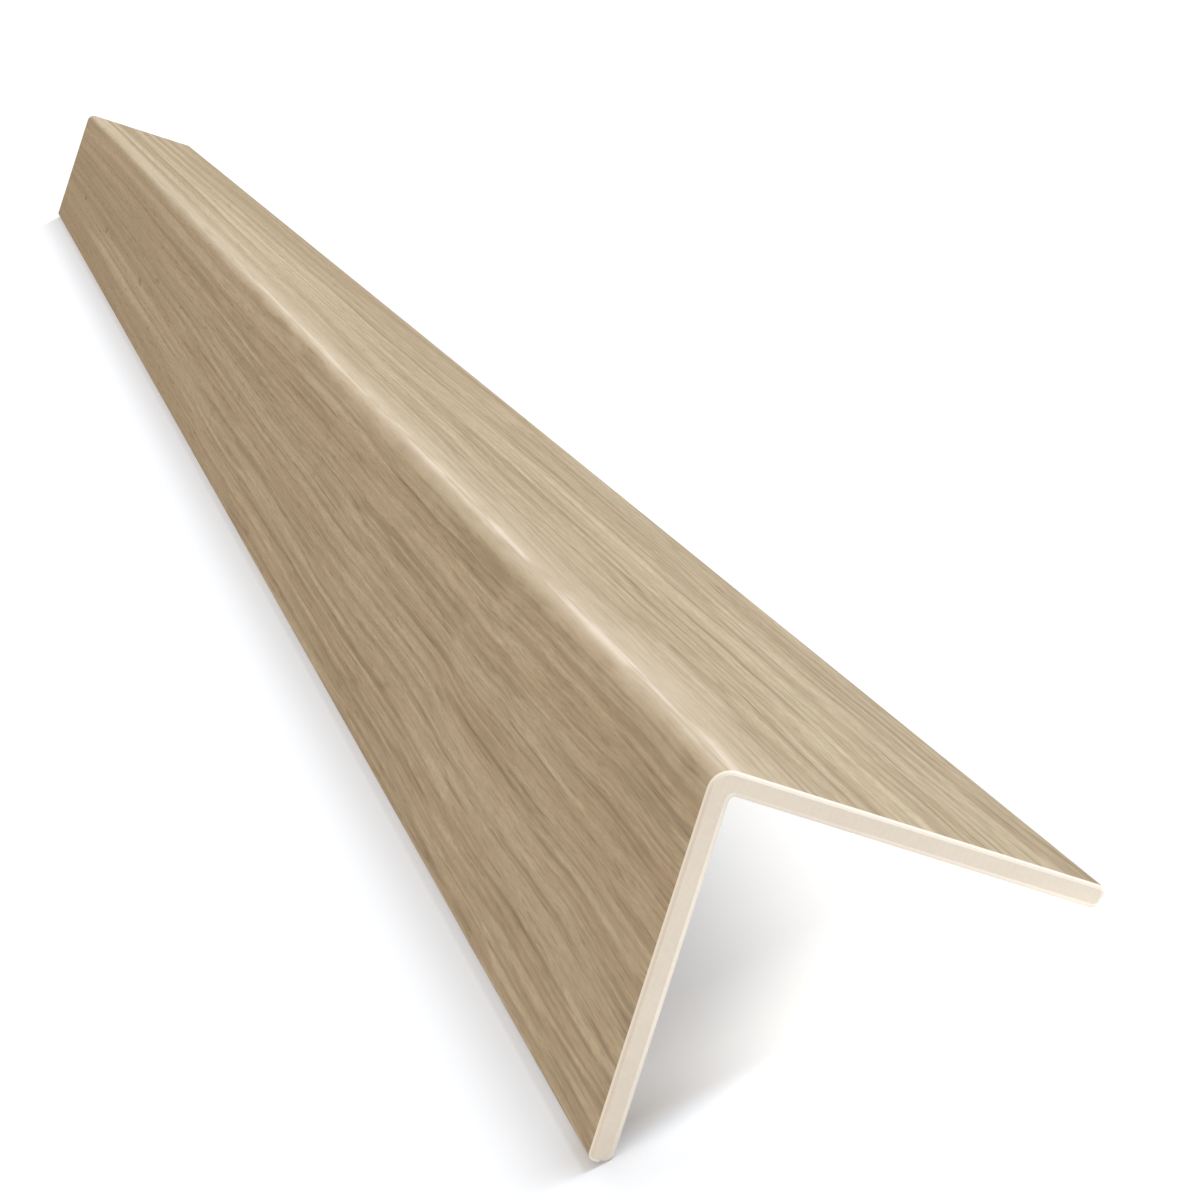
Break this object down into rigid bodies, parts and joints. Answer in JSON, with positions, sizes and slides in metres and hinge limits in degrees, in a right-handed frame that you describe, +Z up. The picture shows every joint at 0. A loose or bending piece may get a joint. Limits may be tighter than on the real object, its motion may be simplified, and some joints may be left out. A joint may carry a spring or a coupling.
{
  "type": "corner guard moulding",
  "caption": "Long right-angle corner guard moulding with a rounded outer corner: a pale plastic angle with a wood-print film, glued over a wall's outside corner.",
  "frame": {"origin": "on the floor under the middle of the profile, with both tips resting on the floor", "axes": "+X along the length, +Y across to one tip, +Z up through the rounded outer corner"},
  "size_m": [2.9, 0.07, 0.0356],
  "materials": {
    "core_plastic": "matte",
    "wood_print_film": "satin"
  },
  "bodies": {
    "root": {"core_profile": "core_plastic", "decor_film": "wood_print_film"}
  },
  "joints": []
}
